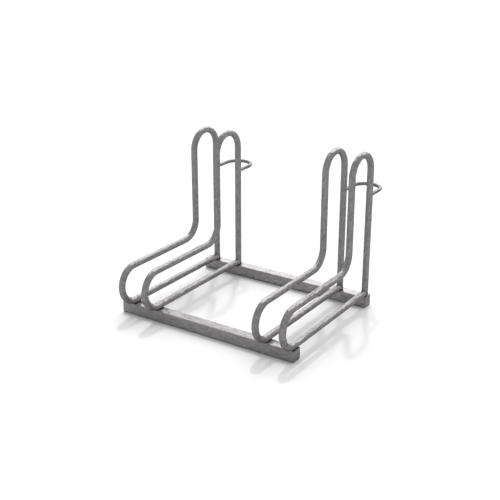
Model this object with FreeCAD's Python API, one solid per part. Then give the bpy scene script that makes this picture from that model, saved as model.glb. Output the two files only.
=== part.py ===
"""Floor-standing bicycle rack with two wheel places, in hot-dip galvanised steel.

Two square hollow rails lie on the floor. Four closed hoops of bent tube stand on them in
pairs, and each pair holds one wheel: low at the front, high at the back. A bent bar behind
each pair is the eye that a lock goes through. Every piece is welded to the next one.

X runs along the rails, Y from the front to the back and Z up. The origin is on the floor,
under the middle of the rack. Sizes are in millimetres.
"""

import FreeCAD, Part
import math
import os

from FreeCAD import Vector

# Layout of the rack
PLACE_PITCH = 500.0  # centre to centre of the two wheel places
WHEEL_GAP = 70.7  # clear width between the two hoops of a place
RAIL_PITCH = 455.0  # centre to centre of the two rails

# Rails: square hollow section, with a plate welded into each end
RAIL_SIDE = 38.0
RAIL_WALL = 2.5
RAIL_CORNER_RADIUS = 4.0
LEFT_MARGIN = 30.5  # rail that shows beyond the leftmost hoop
RIGHT_INSET = 1.2  # from the rightmost hoop's outer side in to the rail's end
END_PLATE_THICKNESS = 3.0

# Hoops: bent tube, which lies on the rails
TUBE_DIAMETER = 21.3
TUBE_WALL = 2.0
BEND_RADIUS = 60.0  # of the centreline, the same in every bend
NOSE_REACH = 76.5  # from the front rail's centre to the front of a hoop
REAR_LEG_LEAD = 4.0  # from the rear rail's centre forwards to the rear legs' centre
HOOP_HEIGHT = 537.0  # from the floor to the top of a hoop
TOP_STRAIGHT = 4.0  # between the two bends at the top of a hoop

# Lock loops: bent bar
LOCK_BAR_DIAMETER = 12.0
LOCK_LOOP_HEIGHT = 383.0  # from the floor to the bar's centre
LOCK_LOOP_REACH = 116.5  # from the rear legs' centre to the back of the loop

# Welds
FOOT_BEAD_RADIUS = 2.4  # of the beads beside the hoops, on the rails
FOOT_BEAD_RISE = 0.9  # from the rail's top up to the bead's centre
FOOT_BEAD_SINK = 1.2  # of the bead into the tube
FOOT_BEAD_INSET = 4.0  # from the rail's side to the end of the bead
CORNER_BEAD_HEIGHT = 1.2  # of the crown where the two ends of a hoop's tube meet
CORNER_BEAD_WIDTH = 5.0
ROOT_GAP_WIDTH = 6.0  # under a tube, where it is too close to the rail for any weld
ROOT_GAP_HEIGHT = 0.7
LOOP_FILLET_LEG = 3.0  # of the fillet weld round each end of a lock loop

# Holes that let air and zinc in and out when the rack is dipped
RAIL_VENT_DIAMETER = 10.0
RAIL_VENT_INSET = 26.0  # from the end of the rail
TUBE_VENT_DIAMETER = 6.0
TUBE_VENT_INSET = 30.0  # from the rail's side

# Sizes that follow from those
TUBE_RADIUS = TUBE_DIAMETER / 2
TUBE_BORE_RADIUS = TUBE_RADIUS - TUBE_WALL
LOCK_BAR_RADIUS = LOCK_BAR_DIAMETER / 2
CORNER_STUB = 2 * TUBE_DIAMETER  # of leg and run that belong to a hoop's corner
HOOP_PITCH = WHEEL_GAP + TUBE_DIAMETER  # centre to centre of the two hoops of a place

LEFT_PLACE_X = 0.0
RIGHT_PLACE_X = LEFT_PLACE_X + PLACE_PITCH
RAIL_LEFT_X = LEFT_PLACE_X - HOOP_PITCH / 2 - TUBE_RADIUS - LEFT_MARGIN
RAIL_RIGHT_X = RIGHT_PLACE_X + HOOP_PITCH / 2 + TUBE_RADIUS - RIGHT_INSET
RAIL_LENGTH = RAIL_RIGHT_X - RAIL_LEFT_X

FRONT_RAIL_Y = 0.0
REAR_RAIL_Y = FRONT_RAIL_Y + RAIL_PITCH
NOSE_Y = FRONT_RAIL_Y - NOSE_REACH + TUBE_RADIUS
REAR_LEG_Y = REAR_RAIL_Y - REAR_LEG_LEAD
FRONT_LEG_Y = REAR_LEG_Y - 2 * BEND_RADIUS - TOP_STRAIGHT
LOOP_BACK_Y = REAR_LEG_Y + LOCK_LOOP_REACH - LOCK_BAR_RADIUS

RUN_Z = RAIL_SIDE + TUBE_RADIUS  # the bottom run lies on the rails
SHELF_Z = RUN_Z + 2 * BEND_RADIUS  # the nose is a half circle
TOP_Z = HOOP_HEIGHT - TUBE_RADIUS

RAILS = {"front_rail": FRONT_RAIL_Y, "rear_rail": REAR_RAIL_Y}
HOOPS = {
    "left_outer_hoop": LEFT_PLACE_X - HOOP_PITCH / 2,
    "left_inner_hoop": LEFT_PLACE_X + HOOP_PITCH / 2,
    "right_inner_hoop": RIGHT_PLACE_X - HOOP_PITCH / 2,
    "right_outer_hoop": RIGHT_PLACE_X + HOOP_PITCH / 2,
}
LOCK_LOOPS = {"left_lock_loop": LEFT_PLACE_X, "right_lock_loop": RIGHT_PLACE_X}

# The middle of the rack on the floor, which becomes the origin
MIDDLE = Vector(
    (RAIL_LEFT_X + RAIL_RIGHT_X) / 2,
    (FRONT_RAIL_Y - NOSE_REACH + REAR_LEG_Y + LOCK_LOOP_REACH) / 2,
    0,
)

X_AXIS = Vector(1, 0, 0)
Y_AXIS = Vector(0, 1, 0)
Z_AXIS = Vector(0, 0, 1)
TOUCHING = 1e-6  # runs shorter than this are left out


def fused(solids):
    """One solid from several that share end faces or overlap."""
    return solids[0].multiFuse(solids[1:]).removeSplitter()


def round_section(centre, direction, radius, bore_radius):
    """A disc, or a ring if there is a bore, square to a direction."""
    outer = Part.Wire(Part.makeCircle(radius, centre, direction))
    if not bore_radius:
        return Part.Face(outer)
    bore = Part.Wire(Part.makeCircle(bore_radius, centre, direction))
    return Part.Face(outer).cut(Part.Face(bore)).Faces[0]


def straight_round(start, end, radius, bore_radius=0.0):
    """A straight length of round bar or tube."""
    run = end - start
    return round_section(start, run, radius, bore_radius).extrude(run)


def bent_round(corners, bend_radius, radius, bore_radius=0.0):
    """Round bar or tube that runs from corner to corner, with a bend at every inner one."""
    lengths = []
    start = corners[0]
    for before, corner, after in zip(corners, corners[1:], corners[2:]):
        arriving = (corner - before).normalize()
        leaving = (after - corner).normalize()
        axis = arriving.cross(leaving).normalize()
        turn = arriving.getAngle(leaving)
        tangent = bend_radius * math.tan(turn / 2)
        bend_start = corner - arriving * tangent
        if (bend_start - start).Length > TOUCHING:
            lengths.append(straight_round(start, bend_start, radius, bore_radius))
        centre = bend_start + axis.cross(arriving) * bend_radius
        section = round_section(bend_start, arriving, radius, bore_radius)
        lengths.append(section.revolve(centre, axis, math.degrees(turn)))
        start = corner + leaving * tangent
    lengths.append(straight_round(start, corners[-1], radius, bore_radius))
    return fused(lengths)


def rounded_square(x, y, side, corner_radius):
    """A square face with round corners in the plane x, as high as a rail's middle."""
    flat = side / 2 - corner_radius
    reach = corner_radius * math.sqrt(0.5)
    edges = []
    for quarter in range(4):
        angle = math.radians(90 * quarter)
        along = Vector(0, math.cos(angle), math.sin(angle))
        across = Vector(0, -math.sin(angle), math.cos(angle))
        centre = Vector(x, y, RAIL_SIDE / 2) + along * flat + across * flat
        start = centre + along * corner_radius
        middle = centre + along * reach + across * reach
        end = centre + across * corner_radius
        edges.append(Part.LineSegment(start - across * 2 * flat, start).toShape())
        edges.append(Part.Arc(start, middle, end).toShape())
    return Part.Face(Part.Wire(edges))


def rail(y):
    """Square hollow section on the floor, between its end plates, with two vents underneath."""
    start = RAIL_LEFT_X + END_PLATE_THICKNESS
    run = X_AXIS * (RAIL_LENGTH - 2 * END_PLATE_THICKNESS)
    bore_side = RAIL_SIDE - 2 * RAIL_WALL
    bore_corner = RAIL_CORNER_RADIUS - RAIL_WALL
    outside = rounded_square(start, y, RAIL_SIDE, RAIL_CORNER_RADIUS).extrude(run)
    inside = rounded_square(start, y, bore_side, bore_corner).extrude(run)
    section = outside.cut(inside)
    for x in (RAIL_LEFT_X + RAIL_VENT_INSET, RAIL_RIGHT_X - RAIL_VENT_INSET):
        foot = Vector(x, y, -RAIL_WALL)
        section = section.cut(Part.makeCylinder(RAIL_VENT_DIAMETER / 2, 3 * RAIL_WALL, foot))
    return section


def end_plate(x, y):
    """The plate that closes one end of a rail, from x on."""
    outline = rounded_square(x, y, RAIL_SIDE, RAIL_CORNER_RADIUS)
    return outline.extrude(X_AXIS * END_PLATE_THICKNESS)


def beyond_mitre(side, distance=0.0):
    """A block of all that lies past the mitre of a hoop's corner, in the plane x = 0.

    The mitre falls backwards at 45 degrees. Side 1 takes what is below it and side -1 what
    is above it, and a distance moves the block that far off the mitre.
    """
    size = 8 * TUBE_DIAMETER
    block = Part.makeBox(size, size, size, Vector(-size / 2, -size / 2, -size))
    block.rotate(Vector(0, 0, 0), X_AXIS, -45 if side > 0 else 135)
    away = Vector(0, -1, -1).normalize() * side
    block.translate(Vector(0, REAR_LEG_Y, RUN_Z) + away * distance)
    return block


def mitred_corner(radius, bore_radius=0.0):
    """The foot of the rear leg and the end of the bottom run, mitred together."""
    corner = Vector(0, REAR_LEG_Y, RUN_Z)
    past = 2 * radius
    leg_top = corner + Z_AXIS * CORNER_STUB
    run_front = corner - Y_AXIS * CORNER_STUB
    leg = straight_round(corner - Z_AXIS * past, leg_top, radius, bore_radius)
    run = straight_round(corner + Y_AXIS * past, run_front, radius, bore_radius)
    return fused([leg.cut(beyond_mitre(1)), run.cut(beyond_mitre(-1))])


def hoop_shape(radius, bore_radius=0.0):
    """A hoop in the plane x = 0, from its mitred corner all the way round."""
    corners = [
        Vector(0, REAR_LEG_Y, RUN_Z + CORNER_STUB),
        Vector(0, REAR_LEG_Y, TOP_Z),
        Vector(0, FRONT_LEG_Y, TOP_Z),
        Vector(0, FRONT_LEG_Y, SHELF_Z),
        Vector(0, NOSE_Y, SHELF_Z),
        Vector(0, NOSE_Y, RUN_Z),
        Vector(0, REAR_LEG_Y - CORNER_STUB, RUN_Z),
    ]
    bent = bent_round(corners, BEND_RADIUS, radius, bore_radius)
    return fused([bent, mitred_corner(radius, bore_radius)])


def hoop_tube():
    """The tube of a hoop, with two vents under its bottom run."""
    tube = hoop_shape(TUBE_RADIUS, TUBE_BORE_RADIUS)
    to_vent = RAIL_SIDE / 2 + TUBE_VENT_INSET
    for y in (FRONT_RAIL_Y + to_vent, REAR_RAIL_Y - to_vent):
        foot = Vector(0, y, RUN_Z - TUBE_DIAMETER)
        tube = tube.cut(Part.makeCylinder(TUBE_VENT_DIAMETER / 2, TUBE_DIAMETER, foot))
    return tube


def below_rail_top(y):
    """A block under the top of a rail, round the foot of a hoop."""
    size = 4 * TUBE_DIAMETER
    return Part.makeBox(size, size, size, Vector(-size / 2, y - size / 2, RAIL_SIDE - size))


def root_gap():
    """The narrow space between the end of a bottom run and the rail, which no weld reaches."""
    end_y = REAR_LEG_Y + TUBE_RADIUS + CORNER_BEAD_HEIGHT / 2
    foot = Vector(-ROOT_GAP_WIDTH / 2, end_y - TUBE_DIAMETER, RAIL_SIDE)
    return Part.makeBox(ROOT_GAP_WIDTH, TUBE_DIAMETER, ROOT_GAP_HEIGHT, foot)


def corner_bead(tube_space):
    """The crown of weld round the mitre of a hoop, from the rail up."""
    band = mitred_corner(TUBE_RADIUS + CORNER_BEAD_HEIGHT)
    band = band.cut([beyond_mitre(side, CORNER_BEAD_WIDTH / 2) for side in (1, -1)])
    return band.cut([tube_space, below_rail_top(REAR_RAIL_Y), root_gap()])


def foot_beads(start_y, end_y, tube_space):
    """The two weld beads beside one foot of a hoop, on top of a rail."""
    standoff = TUBE_RADIUS + FOOT_BEAD_RADIUS - FOOT_BEAD_SINK
    spread = math.sqrt(standoff**2 - (TUBE_RADIUS - FOOT_BEAD_RISE) ** 2)
    rail_space = below_rail_top((start_y + end_y) / 2)
    beads = []
    for side in (-1, 1):
        start = Vector(side * spread, start_y, RAIL_SIDE + FOOT_BEAD_RISE)
        end = Vector(start.x, end_y, start.z)
        bead = fused([
            straight_round(start, end, FOOT_BEAD_RADIUS),
            Part.makeSphere(FOOT_BEAD_RADIUS, start),
            Part.makeSphere(FOOT_BEAD_RADIUS, end),
        ])
        beads.append(bead.cut([tube_space, rail_space]))
    return Part.makeCompound(beads)


def front_foot_beads(tube_space):
    """Beads from the end of the nose's bend to the back of the front rail."""
    end_y = FRONT_RAIL_Y + RAIL_SIDE / 2 - FOOT_BEAD_INSET - FOOT_BEAD_RADIUS
    return foot_beads(NOSE_Y + BEND_RADIUS, end_y, tube_space)


def rear_foot_beads(tube_space):
    """Beads from the front of the rear rail to the weld at the hoop's corner."""
    start_y = REAR_RAIL_Y - RAIL_SIDE / 2 + FOOT_BEAD_INSET + FOOT_BEAD_RADIUS
    end_y = REAR_LEG_Y - CORNER_BEAD_WIDTH
    return foot_beads(start_y, end_y, tube_space)


def rear_legs():
    """The rear legs of a place, which the lock loop's ends are shaped to."""
    legs = []
    for side in (-1, 1):
        foot = Vector(side * HOOP_PITCH / 2, REAR_LEG_Y, RUN_Z + TUBE_DIAMETER)
        legs.append(Part.makeCylinder(TUBE_RADIUS, TOP_Z - BEND_RADIUS - foot.z, foot))
    return legs


def lock_loop_bar():
    """The bar of a lock loop, bent to a half circle, with both ends inside the rear legs."""
    left = Vector(-HOOP_PITCH / 2, 0, LOCK_LOOP_HEIGHT)
    right = Vector(HOOP_PITCH / 2, 0, LOCK_LOOP_HEIGHT)
    to_leg = Y_AXIS * REAR_LEG_Y
    to_back = Y_AXIS * LOOP_BACK_Y
    corners = [left + to_leg, left + to_back, right + to_back, right + to_leg]
    return bent_round(corners, HOOP_PITCH / 2, LOCK_BAR_RADIUS)


def lock_loop_fillets():
    """A fillet weld round each end of a lock loop, cut to the leg behind it."""
    bar = lock_loop_bar()
    radius = LOCK_BAR_RADIUS + LOOP_FILLET_LEG
    fillets = []
    for leg in rear_legs():
        centre = Vector(leg.BoundBox.Center.x, REAR_LEG_Y, LOCK_LOOP_HEIGHT)
        back = centre + Y_AXIS * TUBE_RADIUS
        collar = Part.makeCylinder(radius, TUBE_RADIUS, centre, Y_AXIS)
        slope = Part.makeCone(radius, LOCK_BAR_RADIUS, LOOP_FILLET_LEG, back, Y_AXIS)
        fillets.append(fused([collar, slope]).cut([leg, bar]))
    return Part.makeCompound(fillets)


def at_x(shape, x):
    """A copy of a shape, moved along the rails to x."""
    moved = shape.copy()
    moved.translate(X_AXIS * x)
    return moved


def rack():
    """Every piece of the rack by name. Welds that belong to one joint are one group."""
    pieces = {}
    for name, y in RAILS.items():
        pieces[name] = rail(y)
        pieces[f"{name}_left_end_plate"] = end_plate(RAIL_LEFT_X, y)
        pieces[f"{name}_right_end_plate"] = end_plate(RAIL_RIGHT_X - END_PLATE_THICKNESS, y)
    tube_space = hoop_shape(TUBE_RADIUS)
    hoop_pieces = {
        "": hoop_tube(),
        "_corner_weld": corner_bead(tube_space),
        "_front_foot_welds": front_foot_beads(tube_space),
        "_rear_foot_welds": rear_foot_beads(tube_space),
    }
    for name, x in HOOPS.items():
        for ending, shape in hoop_pieces.items():
            pieces[name + ending] = at_x(shape, x)
    loop_pieces = {"": lock_loop_bar().cut(rear_legs()), "_welds": lock_loop_fillets()}
    for name, x in LOCK_LOOPS.items():
        for ending, shape in loop_pieces.items():
            pieces[name + ending] = at_x(shape, x)
    return pieces


def main():
    """Write each piece to its own STEP file, with the origin under the middle of the rack."""
    os.makedirs("parts", exist_ok=True)
    for name, shape in rack().items():
        shape.translate(-MIDDLE)
        shape.exportStep(f"parts/{name}.step")
        volume = shape.Volume / 1000
        print(f"{name}: {len(shape.Solids)} solid(s), valid {shape.isValid()}, {volume:.2f} cm3")


main()
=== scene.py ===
"""The looks of a floor-standing bicycle rack in hot-dip galvanised steel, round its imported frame.

Four bent tube hoops stand in two pairs on two square rails, and a bar behind each pair is the
eye for a lock. The tubes, rails, bars and end plates keep their construction shapes and get
their zinc here. The weld beads are made here: each is a row of ripples that run into each
other, as the arc left them and the zinc bath softened them.

Everything is in metres, in the frame's own axes: X along the rails, Y to the back, Z up.
"""

import logging
import math
import random
from dataclasses import dataclass, field
from enum import Enum
from typing import Iterable

import bmesh
import bpy
from mathutils import Matrix, Vector


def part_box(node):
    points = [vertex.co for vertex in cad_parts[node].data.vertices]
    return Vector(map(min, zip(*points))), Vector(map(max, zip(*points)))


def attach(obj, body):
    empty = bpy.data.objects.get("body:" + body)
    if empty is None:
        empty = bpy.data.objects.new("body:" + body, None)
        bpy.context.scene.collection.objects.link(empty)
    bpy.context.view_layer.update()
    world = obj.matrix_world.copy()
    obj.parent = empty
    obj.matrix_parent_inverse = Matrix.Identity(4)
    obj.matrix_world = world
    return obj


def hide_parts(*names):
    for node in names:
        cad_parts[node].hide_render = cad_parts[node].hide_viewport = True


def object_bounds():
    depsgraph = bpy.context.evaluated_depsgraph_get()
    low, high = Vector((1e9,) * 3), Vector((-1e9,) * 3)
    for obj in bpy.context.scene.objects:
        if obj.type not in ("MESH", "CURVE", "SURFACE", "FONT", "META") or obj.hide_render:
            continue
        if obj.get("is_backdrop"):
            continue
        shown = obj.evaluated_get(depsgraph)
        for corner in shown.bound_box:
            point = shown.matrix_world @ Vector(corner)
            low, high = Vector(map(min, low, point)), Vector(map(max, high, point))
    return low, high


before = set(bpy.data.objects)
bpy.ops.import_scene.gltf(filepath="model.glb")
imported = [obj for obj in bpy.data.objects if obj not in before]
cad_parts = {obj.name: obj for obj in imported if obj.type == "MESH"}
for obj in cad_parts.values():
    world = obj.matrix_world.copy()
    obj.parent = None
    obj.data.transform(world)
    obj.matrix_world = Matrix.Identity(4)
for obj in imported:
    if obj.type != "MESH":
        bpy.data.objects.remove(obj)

LOG = logging.getLogger("bicycle_rack")
ROOT_BODY = "root"
MM = 0.001
X_AXIS = Vector((1.0, 0.0, 0.0))
Y_AXIS = Vector((0.0, 1.0, 0.0))
FRACTAL = {"Detail": 3.0, "Roughness": 0.6}  # of the noise in the zinc
PAINTED_SHADE_RAYS = 8  # cast from each point to find the narrow corners where shade is painted
MIDDLE = (0.5, 0.5, 0.5)  # of the crystals' random colours
WHITE = (1.0, 1.0, 1.0, 1.0)


class Place(Enum):
    """The two wheel places, by the start of their pieces' names."""

    LEFT = "left"
    RIGHT = "right"

    def hoops(self) -> tuple[str, str]:
        """Give the names of the place's two hoops, the outer one first."""
        return f"{self.value}_outer_hoop", f"{self.value}_inner_hoop"


class RailName(Enum):
    """The two rails, by the word for each in the pieces' names."""

    FRONT = "front"
    REAR = "rear"


def linear(hex_colour: str) -> tuple[float, float, float, float]:
    """Turn an sRGB hex colour into linear values, by the curve of the sRGB standard.

    Args:
        hex_colour: Six hex digits after a hash.

    Returns:
        Linear red, green and blue, with an alpha of 1.
    """
    channels = [int(hex_colour[i : i + 2], 16) / 255 for i in (1, 3, 5)]
    turned = [c / 12.92 if c <= 0.04045 else ((c + 0.055) / 1.055) ** 2.4 for c in channels]
    return (*turned, 1.0)


def add_node(tree: bpy.types.NodeTree, kind: str, settings: dict | None = None,
             inputs: dict | None = None) -> bpy.types.Node:
    """Add a node with its settings and its links.

    Args:
        tree: The node tree.
        kind: The node's type name.
        settings: Properties of the node, by name.
        inputs: Values or output sockets, by the name or number of the input.

    Returns:
        The new node.
    """
    node = tree.nodes.new(kind)
    for name, value in (settings or {}).items():
        setattr(node, name, value)
    for key, value in (inputs or {}).items():
        if isinstance(value, bpy.types.NodeSocket):
            tree.links.new(value, node.inputs[key])
        else:
            node.inputs[key].default_value = value
    return node


@dataclass(frozen=True)
class GalvanisedZinc:
    """Hot-dip galvanised zinc: grey and fairly bright, in crystals that lean different ways.

    The bath leaves a spangle of crystals, slow clouds where the coat cooled unevenly, and a
    faint orange peel. The crystals' faces lean apart, so each one catches the softbox or
    misses it, and the lit side of a tube is a band of bright and grey patches. Its other
    side mirrors the dull floor and is flat grey. A thin oxide keeps the zinc from being all
    metal to the eye, and dulls it towards the edges.
    """

    name: str
    dark: str = "#7a7879"
    light: str = "#e6e3e5"
    metallic: float = 0.61  # the rest is oxide
    roughness: tuple[float, float] = (0.20, 0.26)  # from one crystal to another
    edge_tint: float = 0.45  # grey of the reflection at the edges
    spangle_mm: float = 3.5  # width of a crystal
    spangle_tilt: float = 0.34  # how far the crystals' faces lean apart
    raggedness: float = 0.5  # how far a crystal's edge strays, as a share of its width
    edge_waves: float = 2.5  # waves along a crystal's edge
    cloud_mm: float = 60.0  # width of a cloud
    grain_mm: float = 3.0  # of the mottling inside the crystals
    stretch: tuple[float, float, float] = (1.0, 2.5, 2.5)  # the zinc ran along the tubes
    peel_depth_mm: float = 0.12  # deeper than the real peel, so that it shows
    spangle_share: float = 0.30  # of the crystals in the grey
    cloud_share: float = 0.25  # of the clouds in the grey
    painted_shade_reach_mm: float = 10.0  # reach of the painted shade in narrow corners
    painted_shade_openness: tuple[float, float] = (0.15, 0.50)  # openness where the painted shade is darkest, and where it stops
    painted_shade_deepest_grey: float = 0.02  # painted shade: share of the zinc's own grey left in the deepest corner

    def material(self) -> bpy.types.Material:
        """Build the zinc as a node material on Object coordinates.

        Returns:
            The material.
        """
        made = bpy.data.materials.new(self.name)
        made.use_nodes = True
        tree = made.node_tree
        tree.nodes.clear()
        drawn_out = tuple(1 / length for length in self.stretch)
        place = add_node(tree, "ShaderNodeMapping", {"vector_type": "POINT"},
                         {"Vector": add_node(tree, "ShaderNodeTexCoord").outputs["Object"],
                          "Scale": drawn_out}).outputs["Vector"]
        ragged = self._ragged_place(tree, place)
        crystal = add_node(tree, "ShaderNodeTexVoronoi", {"feature": "F1"},
                           {"Vector": ragged, "Scale": 1 / (self.spangle_mm * MM)})
        crystal_grey = add_node(tree, "ShaderNodeSeparateColor", {},
                                {"Color": crystal.outputs["Color"]}).outputs["Red"]
        cloud = add_node(tree, "ShaderNodeTexNoise", {},
                         {"Vector": place, "Scale": 1 / (self.cloud_mm * MM),
                          **FRACTAL}).outputs["Fac"]
        peel = add_node(tree, "ShaderNodeTexNoise", {},
                        {"Vector": place, "Scale": 1 / (self.grain_mm * MM),
                         **FRACTAL}).outputs["Fac"]
        grey = self._mixed_grey(tree, crystal_grey, cloud, peel)
        # A colour mix has its two colours in sockets 6 and 7, and gives socket 2.
        unshaded = add_node(tree, "ShaderNodeMix", {"data_type": "RGBA"},
                         {0: grey, 6: linear(self.dark), 7: linear(self.light)}).outputs[2]
        # Painted shade: the colour darkens in narrow corners.
        colour = self._painted_shade_in_crevices(tree, unshaded)
        roughness = add_node(tree, "ShaderNodeMapRange", {},
                             {"Value": crystal_grey, "To Min": self.roughness[0],
                              "To Max": self.roughness[1]}).outputs["Result"]
        bump = add_node(tree, "ShaderNodeBump", {},
                        {"Height": peel, "Distance": self.peel_depth_mm * MM,
                         "Normal": self._leaning_normal(tree, crystal.outputs["Color"])})
        shader = add_node(tree, "ShaderNodeBsdfPrincipled", {},
                          {"Base Color": colour, "Metallic": self.metallic,
                           "Roughness": roughness, "Normal": bump.outputs["Normal"],
                           "Specular Tint": (self.edge_tint, self.edge_tint, self.edge_tint, 1.0)})
        add_node(tree, "ShaderNodeOutputMaterial", {}, {"Surface": shader.outputs["BSDF"]})
        return made

    def _ragged_place(self, tree: bpy.types.NodeTree,
                      place: bpy.types.NodeSocket) -> bpy.types.NodeSocket:
        """Shift the place by a small noise, so that the crystals' edges are ragged.

        Args:
            tree: The node tree.
            place: The Object coordinates.

        Returns:
            The shifted coordinates.
        """
        noise = add_node(tree, "ShaderNodeTexNoise", {},
                         {"Vector": place, "Detail": FRACTAL["Detail"],
                          "Scale": self.edge_waves / (self.spangle_mm * MM)}).outputs["Color"]
        shift = add_node(tree, "ShaderNodeVectorMath", {"operation": "SCALE"},
                         {0: noise, "Scale": self.raggedness * self.spangle_mm * MM}).outputs["Vector"]
        return add_node(tree, "ShaderNodeVectorMath", {"operation": "ADD"},
                        {0: place, 1: shift}).outputs["Vector"]

    def _painted_shade_in_crevices(self, tree: bpy.types.NodeTree,
                          unshaded: bpy.types.NodeSocket) -> bpy.types.NodeSocket:
        """Paint shade into narrow corners: the colour darkens where little light gets in.

        Args:
            tree: The node tree.
            unshaded: The colour of the open zinc.

        Returns:
            The colour with painted shade in its corners.
        """
        openness = add_node(tree, "ShaderNodeAmbientOcclusion", {"samples": PAINTED_SHADE_RAYS},
                            {"Distance": self.painted_shade_reach_mm * MM}).outputs["AO"]
        share = add_node(tree, "ShaderNodeMapRange", {"interpolation_type": "SMOOTHSTEP"},
                         {"Value": openness, "From Min": self.painted_shade_openness[0],
                          "From Max": self.painted_shade_openness[1], "To Min": self.painted_shade_deepest_grey,
                          "To Max": 1.0}).outputs["Result"]
        return add_node(tree, "ShaderNodeVectorMath", {"operation": "SCALE"},
                        {0: unshaded, "Scale": share}).outputs["Vector"]

    def _leaning_normal(self, tree: bpy.types.NodeTree,
                        random_colour: bpy.types.NodeSocket) -> bpy.types.NodeSocket:
        """Lean the normal of each crystal its own way.

        Args:
            tree: The node tree.
            random_colour: A random colour for each crystal.

        Returns:
            The leaning normal.
        """
        centred = add_node(tree, "ShaderNodeVectorMath", {"operation": "SUBTRACT"},
                           {0: random_colour, 1: MIDDLE}).outputs["Vector"]
        lean = add_node(tree, "ShaderNodeVectorMath", {"operation": "SCALE"},
                        {0: centred, "Scale": self.spangle_tilt}).outputs["Vector"]
        normal = add_node(tree, "ShaderNodeNewGeometry").outputs["Normal"]
        leaning = add_node(tree, "ShaderNodeVectorMath", {"operation": "ADD"},
                           {0: normal, 1: lean}).outputs["Vector"]
        return add_node(tree, "ShaderNodeVectorMath", {"operation": "NORMALIZE"},
                        {0: leaning}).outputs["Vector"]

    def _mixed_grey(self, tree: bpy.types.NodeTree, crystal: bpy.types.NodeSocket,
                    cloud: bpy.types.NodeSocket,
                    peel: bpy.types.NodeSocket) -> bpy.types.NodeSocket:
        """Add up the greys of the crystals, the clouds and the peel.

        Args:
            tree: The node tree.
            crystal: A grey for each crystal.
            cloud: The slow noise.
            peel: The fine noise.

        Returns:
            One grey, from 0 to 1.
        """
        shares = ((crystal, self.spangle_share), (cloud, self.cloud_share),
                  (peel, 1 - self.spangle_share - self.cloud_share))
        total = None
        for source, share in shares:
            part = add_node(tree, "ShaderNodeMath", {"operation": "MULTIPLY"},
                            {0: source, 1: share}).outputs[0]
            total = part if total is None else add_node(
                tree, "ShaderNodeMath", {"operation": "ADD"}, {0: total, 1: part}).outputs[0]
        return total


ALONG_RAIL = (2.5, 1.0, 1.0)

# Bent tube: the plain zinc. Even grey sides, and a mottled band where the softbox lies.
ZINC_ON_TUBE = GalvanisedZinc("galvanised_zinc_on_bent_tube")

# Welded square section, in front: a less metallic copy of the rail zinc, painted shade so that its top
# shines less than the rear one's.
FRONT_RAIL_ZINC_PAINTED_DIMMER = GalvanisedZinc("galvanised_zinc_on_front_rail_painted_dimmer", dark="#929091",
                                    light="#e4e1e3", metallic=0.42, stretch=ALONG_RAIL,
                                    cloud_share=0.20)

# The same section behind: a lighter copy of the rail zinc, a painted highlight, nearly white on top, where
# it mirrors the softbox.
REAR_RAIL_ZINC_PAINTED_BRIGHTER = GalvanisedZinc("galvanised_zinc_on_rear_rail_painted_brighter", dark="#8f8d8e",
                                   light="#eeebed", stretch=ALONG_RAIL)

# Plate is cut from wide sheet and cools slowly, so its crystals are large.
ZINC_ON_PLATE = GalvanisedZinc("galvanised_zinc_on_cut_plate", dark="#858384",
                               light="#ece9eb", spangle_mm=7.0)

# Drawn bar takes a thin, darker coat with clouds as small as the bar.
ZINC_ON_BAR = GalvanisedZinc("galvanised_zinc_on_drawn_bar", dark="#6d6b6c", light="#c6c3c5",
                             spangle_mm=4.0, cloud_mm=30.0)

# Weld metal holds silicon, on which zinc grows dull and dark.
ZINC_ON_WELD = GalvanisedZinc("duller_galvanised_zinc_on_weld", dark="#5b595a", light="#aaa7a9",
                              spangle_mm=3.0, roughness=(0.40, 0.55))

# Painted shadow: the beads beside a foot are nearly black zinc, standing for the dark groove between tube
# and rail.
GROOVE_SHADOW_PAINTED_ZINC = GalvanisedZinc("zinc_painted_nearly_black_as_foot_groove_shadow", dark="#101010",
                                light="#343434", spangle_mm=3.0, roughness=(0.50, 0.65))


@dataclass
class Tray:
    """What the sub-assemblies share: the finishes, made once each, and how a piece gets one."""

    made: dict[str, bpy.types.Material] = field(default_factory=dict)

    def finish(self, zinc: GalvanisedZinc) -> bpy.types.Material:
        """Give the material of a finish, which is built the first time.

        Args:
            zinc: The finish.

        Returns:
            Its material.
        """
        if zinc.name not in self.made:
            self.made[zinc.name] = zinc.material()
        return self.made[zinc.name]

    def dress_node(self, node: str, zinc: GalvanisedZinc) -> None:
        """Put a finish on a construction piece that keeps its shape.

        Args:
            node: The piece's name in the frame.
            zinc: The finish.
        """
        for material_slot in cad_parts[node].material_slots:
            material_slot.material = self.finish(zinc)
        LOG.info("%s wears %s", node, zinc.name)

    def add_weld(self, name: str, mesh: bmesh.types.BMesh, zinc: GalvanisedZinc,
                 node: str) -> None:
        """Make a weld of a finished bmesh, ride it on the rack and log it.

        Args:
            name: The weld's name.
            mesh: The bmesh, which is freed.
            zinc: The finish.
            node: The construction piece that it replaces.
        """
        data = bpy.data.meshes.new(name)
        mesh.to_mesh(data)
        mesh.free()
        data.shade_smooth()
        data.materials.append(self.finish(zinc))
        weld = bpy.data.objects.new(name, data)
        bpy.context.scene.collection.objects.link(weld)
        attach(weld, ROOT_BODY)
        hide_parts(node)
        LOG.info("%s: %d faces, for %s", name, len(data.polygons), node)


@dataclass(frozen=True)
class Ripple:
    """One ripple of a weld: where it is, which way the weld runs and which way is out."""

    place: Vector
    along: Vector
    out: Vector


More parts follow.
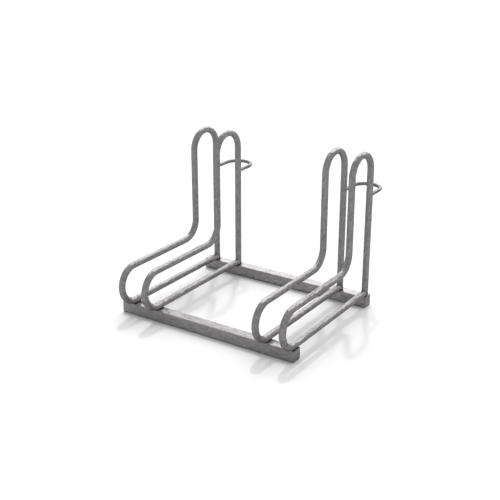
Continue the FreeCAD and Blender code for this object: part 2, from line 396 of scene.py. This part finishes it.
@dataclass
class RippledBead:
    """A weld bead, made of ripples that run into each other."""

    half_width: float  # of a ripple, across the weld
    half_height: float  # of a ripple, off the steel
    pitch: float = 1.9 * MM  # from one ripple to the next
    lean: float = math.radians(28)  # of each ripple, back along the weld
    overlap: float = 0.95  # half a ripple's length, as a share of the pitch
    unevenness: float = 0.10  # share by which the ripples differ
    roundness: int = 2  # subdivisions of each ripple's ball
    voxel: float = 0.42 * MM  # of the skin over the ripples
    softness: float = 0.5  # of each pass that smooths the skin
    smoothings: int = 2
    seed: int = 1

    def mesh(self, runs: Iterable[list[Ripple]]) -> bmesh.types.BMesh:
        """Make the bead, or the beads of one joint, as one closed skin.

        Args:
            runs: The ripples of each bead.

        Returns:
            A bmesh that the caller frees.
        """
        dice = random.Random(self.seed)
        rough = bmesh.new()
        for ripples in runs:
            for ripple in ripples:
                self._add_ripple(rough, ripple, dice)
        return self._melted(rough)

    def _add_ripple(self, rough: bmesh.types.BMesh, ripple: Ripple,
                    dice: random.Random) -> None:
        """Add one flattened, leaning ball.

        Args:
            rough: The bmesh that gets it.
            ripple: Where it goes.
            dice: Source of the unevenness.
        """
        along = ripple.along.normalized()
        out = (ripple.out - along * ripple.out.dot(along)).normalized()
        across = along.cross(out)
        turn = Matrix((across, along, out)).transposed().to_4x4()
        size = [length * (1 + dice.uniform(-self.unevenness, self.unevenness))
                for length in (self.half_width, self.pitch * self.overlap, self.half_height)]
        shape = Matrix.Rotation(self.lean, 4, "X") @ Matrix.Diagonal((*size, 1.0))
        ball = bmesh.ops.create_icosphere(rough, subdivisions=self.roundness,
                                          radius=1.0)["verts"]
        bmesh.ops.transform(rough, verts=ball,
                            matrix=Matrix.Translation(ripple.place) @ turn @ shape)

    def _melted(self, rough: bmesh.types.BMesh) -> bmesh.types.BMesh:
        """Run the balls into one skin, as the zinc does.

        Args:
            rough: The bmesh of balls, which is freed.

        Returns:
            The skin.
        """
        data = bpy.data.meshes.new("rough_weld")
        rough.to_mesh(data)
        rough.free()
        holder = bpy.data.objects.new("rough_weld", data)
        bpy.context.scene.collection.objects.link(holder)
        skin = holder.modifiers.new("skin", "REMESH")
        skin.mode = "VOXEL"
        skin.voxel_size = self.voxel
        soft = holder.modifiers.new("soft", "SMOOTH")
        soft.factor = self.softness
        soft.iterations = self.smoothings
        graph = bpy.context.evaluated_depsgraph_get()
        melted = bpy.data.meshes.new_from_object(holder.evaluated_get(graph))
        result = bmesh.new()
        result.from_mesh(melted)
        bpy.data.objects.remove(holder)
        bpy.data.meshes.remove(data)
        bpy.data.meshes.remove(melted)
        return result


def stations(start: float, end: float, pitch: float) -> list[float]:
    """Even places from start to end.

    Args:
        start: The first place.
        end: The last place.
        pitch: The distance between two places, or a little less.

    Returns:
        The places, both ends included.
    """
    count = max(1, math.ceil(abs(end - start) / pitch))
    return [start + (end - start) * i / count for i in range(count + 1)]


@dataclass
class Hoop:
    """One hoop of bent tube with its welds."""

    name: str
    corner_bead: RippledBead = field(
        default_factory=lambda: RippledBead(2.1 * MM, 1.2 * MM))
    foot_bead: RippledBead = field(
        default_factory=lambda: RippledBead(2.3 * MM, 1.7 * MM))
    foot_bead_inset: float = 0.5 * MM  # from the side of the construction's bead
    foot_bead_rise: float = 0.35  # of its centre above the rail, as a share of its half height
    tube_radius: float = field(init=False)
    x: float = field(init=False)  # of the plane in which the tube is bent
    rear_leg_y: float = field(init=False)  # of the rear leg's middle
    run_z: float = field(init=False)  # of the bottom run's middle
    rail_top: float = field(init=False)

    def __post_init__(self) -> None:
        """Read the tube's size and place from the frame."""
        low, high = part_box(self.name)
        self.tube_radius = (high.x - low.x) / 2
        self.x = (high.x + low.x) / 2
        self.rear_leg_y = high.y - self.tube_radius
        self.run_z = low.z + self.tube_radius
        self.rail_top = low.z

    def build(self, tray: Tray) -> None:
        """Dress the tube and make its welds.

        Args:
            tray: The shared finishes.
        """
        tray.dress_node(self.name, ZINC_ON_TUBE)
        self._corner(tray)
        self._foot(tray, RailName.FRONT)
        self._foot(tray, RailName.REAR)

    def _corner(self, tray: Tray) -> None:
        """Make the bead round the mitre, where the ends of the tube meet.

        Args:
            tray: The shared finishes.
        """
        radius = self.tube_radius
        corner = Vector((self.x, self.rear_leg_y, self.run_z))
        rise = Vector((0.0, -radius, radius))  # from the corner to the mitre's inner edge
        length = math.tau * math.sqrt((radius**2 + rise.length_squared) / 2)  # of the ellipse
        start = -math.pi / 2  # at the mitre's outer edge
        step = math.tau * self.corner_bead.pitch / length
        ripples = []
        for angle in stations(start, start + math.tau, step)[:-1]:
            place = corner + X_AXIS * radius * math.cos(angle) + rise * math.sin(angle)
            along = rise * math.cos(angle) - X_AXIS * radius * math.sin(angle)
            out = Vector((2 * math.cos(angle), -math.sin(angle), math.sin(angle)))  # square to the ellipse
            ripples.append(Ripple(place, along, out))
        tray.add_weld(f"{self.name}_corner_bead", self.corner_bead.mesh([ripples]),
                      ZINC_ON_WELD, f"{self.name}_corner_weld")

    def _foot(self, tray: Tray, rail: RailName) -> None:
        """Make the two beads beside one foot, between the tube and the rail.

        Args:
            tray: The shared finishes.
            rail: The rail on which the foot stands.
        """
        foot = f"{self.name}_{rail.value}_foot"
        low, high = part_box(f"{foot}_welds")
        thickness = self.foot_bead.half_height
        away = (high.x - low.x) / 2 - self.foot_bead_inset - thickness
        height = self.rail_top + self.foot_bead_rise * thickness
        runs = []
        for side in (-1, 1):
            runs.append([Ripple(Vector((self.x + side * away, y, height)), Y_AXIS,
                                Vector((side, 0.0, 1.0)))
                         for y in stations(low.y + thickness, high.y - thickness,
                                           self.foot_bead.pitch)])
        # The foot beads wear painted shadow: nearly black, for the shade in the groove.
        tray.add_weld(f"{foot}_beads", self.foot_bead.mesh(runs), GROOVE_SHADOW_PAINTED_ZINC, f"{foot}_welds")


@dataclass
class LockLoop:
    """The bar behind a wheel place, with the welds at its two ends."""

    place: Place
    bead: RippledBead = field(
        default_factory=lambda: RippledBead(1.9 * MM, 1.7 * MM, pitch=1.7 * MM))
    bead_rise: float = 0.5  # of its centre off the bar, as a share of its half height

    def build(self, tray: Tray) -> None:
        """Dress the bar and make its welds.

        Args:
            tray: The shared finishes.
        """
        name = f"{self.place.value}_lock_loop"
        tray.dress_node(name, ZINC_ON_BAR)
        low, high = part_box(name)
        bar_radius = (high.z - low.z) / 2
        height = (high.z + low.z) / 2
        runs = [self._end(Hoop(hoop), height, bar_radius) for hoop in self.place.hoops()]
        tray.add_weld(f"{name}_beads", self.bead.mesh(runs), ZINC_ON_WELD, f"{name}_welds")

    def _end(self, hoop: Hoop, height: float, bar_radius: float) -> list[Ripple]:
        """Place the ripples round one end of the bar, on a hoop's rear leg.

        Args:
            hoop: The hoop whose leg carries the end.
            height: The bar's centre above the floor.
            bar_radius: Half the bar's thickness.

        Returns:
            The ripples, once round the bar.
        """
        leg = hoop.tube_radius
        reach = bar_radius + self.bead_rise * self.bead.half_height
        ripples = []
        for angle in stations(0.0, math.tau, self.bead.pitch / reach)[:-1]:
            across, up = reach * math.cos(angle), reach * math.sin(angle)
            back = math.sqrt(leg**2 - across**2)
            place = Vector((hoop.x + across, hoop.rear_leg_y + back, height + up))
            slope = across * reach * math.sin(angle) / back
            along = Vector((-reach * math.sin(angle), slope, reach * math.cos(angle)))
            from_bar = Vector((math.cos(angle), 0.0, math.sin(angle)))
            from_leg = Vector((across / leg, back / leg, 0.0))
            ripples.append(Ripple(place, along, from_bar + from_leg))
        return ripples


@dataclass
class Rail:
    """One square rail with its two end plates."""

    name: RailName
    zinc: GalvanisedZinc

    def build(self, tray: Tray) -> None:
        """Dress the rail and its plates.

        Args:
            tray: The shared finishes.
        """
        rail = f"{self.name.value}_rail"
        tray.dress_node(rail, self.zinc)
        for end in ("left", "right"):
            tray.dress_node(f"{rail}_{end}_end_plate", ZINC_ON_PLATE)


@dataclass(frozen=True)
class FarLight:
    """A light so far away that it falls on the whole floor alike."""

    name: str
    towards: tuple[float, float, float]  # from the rack to the light
    spread: float  # degrees that it spans, seen from the rack
    strength: float  # watts for each square metre that faces it
    floor_only: bool = False

    def hang(self, floor_alone: bpy.types.Collection) -> None:
        """Hang the light.

        Args:
            floor_alone: A collection that holds the floor and nothing else.
        """
        light = bpy.data.lights.new(self.name, "SUN")
        light.angle = math.radians(self.spread)
        light.energy = self.strength
        lamp = bpy.data.objects.new(self.name, light)
        lamp.rotation_mode = "QUATERNION"
        lamp.rotation_quaternion = Vector(self.towards).to_track_quat("Z", "Y")
        if self.floor_only:
            lamp.light_linking.receiver_collection = floor_alone
        bpy.context.scene.collection.objects.link(lamp)
        LOG.info("light %s hung", self.name)


# The rack has one wide light, high behind it: tops shine, and what faces the camera stays grey.
# The other two fall along the photograph's shadows, and on the floor alone.
AS_SHADOWS_FALL = (-0.26, 0.48, 1.0)
SOFTBOX = FarLight("softbox", (-0.38, 0.96, 0.66), 79.0, 2.28)
FLOOR_SUN = FarLight("floor_sun", AS_SHADOWS_FALL, 3.0, 0.60, floor_only=True)
FLOOR_SKY = FarLight("floor_sky", AS_SHADOWS_FALL, 120.0, 1.10, floor_only=True)


@dataclass
class Studio:
    """A plain pale floor, a wide softbox above and behind, and the camera."""

    azimuth: float = math.radians(33.43)
    elevation: float = math.radians(21.297)
    camera_place: tuple[float, float, float] = (1.517721, -2.304130, 1.273576)
    focal_pixels: float = 919.195  # the focal length, in pixels of the frame
    frame_pixels: float = 500.0
    sensor_mm: float = 36.0
    floor_half_side: float = 30.0  # its edge is far past the camera's view
    floor_seen: str = "#f7f7f7"  # as the eye sees it
    floor_mirrored: str = "#a4a4a4"  # as the zinc's reflections show it
    surround_grey: float = 0.374  # as light, where the eye sees white
    lights: tuple[FarLight, ...] = (SOFTBOX, FLOOR_SUN, FLOOR_SKY)

    def build(self) -> None:
        """Make the camera, the floor, the surround and the lights."""
        self._camera()
        self._surround()
        floor_alone = bpy.data.collections.new("floor_alone")
        floor_alone.objects.link(self._floor())
        for light in self.lights:
            light.hang(floor_alone)
        bpy.context.scene.view_settings.view_transform = "Standard"
        LOG.info("studio ready")

    def _camera(self) -> None:
        """Stand the camera where the photograph was taken from."""
        lens = bpy.data.cameras.new("camera")
        lens.sensor_fit = "HORIZONTAL"
        lens.sensor_width = self.sensor_mm
        lens.lens = self.focal_pixels / self.frame_pixels * self.sensor_mm
        right = Vector((math.cos(self.azimuth), math.sin(self.azimuth), 0.0))
        back = Vector((math.sin(self.azimuth) * math.cos(self.elevation),
                       -math.cos(self.azimuth) * math.cos(self.elevation),
                       math.sin(self.elevation)))
        turn = Matrix((right, back.cross(right), back)).transposed().to_4x4()
        camera = bpy.data.objects.new("camera", lens)
        camera.matrix_world = Matrix.Translation(self.camera_place) @ turn
        bpy.context.scene.collection.objects.link(camera)
        bpy.context.scene.camera = camera

    def _floor(self) -> bpy.types.Object:
        """Lay the pale floor, which is darker in the zinc's reflections than to the eye.

        Returns:
            The floor.
        """
        plane = bmesh.new()
        bmesh.ops.create_grid(plane, x_segments=1, y_segments=1, size=self.floor_half_side)
        data = bpy.data.meshes.new("floor")
        plane.to_mesh(data)
        plane.free()
        paint = bpy.data.materials.new("pale_studio_floor")
        paint.use_nodes = True
        tree = paint.node_tree
        tree.nodes.clear()
        eye = add_node(tree, "ShaderNodeLightPath").outputs["Is Camera Ray"]
        seen = add_node(tree, "ShaderNodeBsdfDiffuse", {}, {"Color": linear(self.floor_seen)})
        mirrored = add_node(tree, "ShaderNodeBsdfDiffuse", {},
                            {"Color": linear(self.floor_mirrored)})
        mix = add_node(tree, "ShaderNodeMixShader", {},
                       {0: eye, 1: mirrored.outputs[0], 2: seen.outputs[0]})
        add_node(tree, "ShaderNodeOutputMaterial", {}, {"Surface": mix.outputs[0]})
        data.materials.append(paint)
        floor = bpy.data.objects.new("floor", data)
        bpy.context.scene.collection.objects.link(floor)
        floor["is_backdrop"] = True
        return floor

    def _surround(self) -> None:
        """Make the surround white to the eye and grey as light."""
        world = bpy.data.worlds.new("white_surround")
        world.use_nodes = True
        tree = world.node_tree
        tree.nodes.clear()
        eye = add_node(tree, "ShaderNodeLightPath").outputs["Is Camera Ray"]
        strength = add_node(tree, "ShaderNodeMapRange", {},
                            {"Value": eye, "To Min": self.surround_grey, "To Max": 1.0})
        white = add_node(tree, "ShaderNodeBackground", {},
                         {"Color": WHITE, "Strength": strength.outputs["Result"]})
        add_node(tree, "ShaderNodeOutputWorld", {}, {"Surface": white.outputs[0]})
        bpy.context.scene.world = world


@dataclass
class SizeLog:
    """Keeps the construction's box; nothing is written."""

    construction: tuple[Vector, Vector] = field(default_factory=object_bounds)

    def write(self) -> None:
        """Take no step: neither box is written."""


def main() -> None:
    """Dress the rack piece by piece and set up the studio."""
    logging.basicConfig(level=logging.INFO, format="%(name)s: %(message)s")
    sizes = SizeLog()
    tray = Tray()
    Rail(RailName.FRONT, FRONT_RAIL_ZINC_PAINTED_DIMMER).build(tray)
    Rail(RailName.REAR, REAR_RAIL_ZINC_PAINTED_BRIGHTER).build(tray)
    for place in Place:
        for hoop in place.hoops():
            Hoop(hoop).build(tray)
        LockLoop(place).build(tray)
    Studio().build()
    sizes.write()


if __name__ == "__main__":
    main()
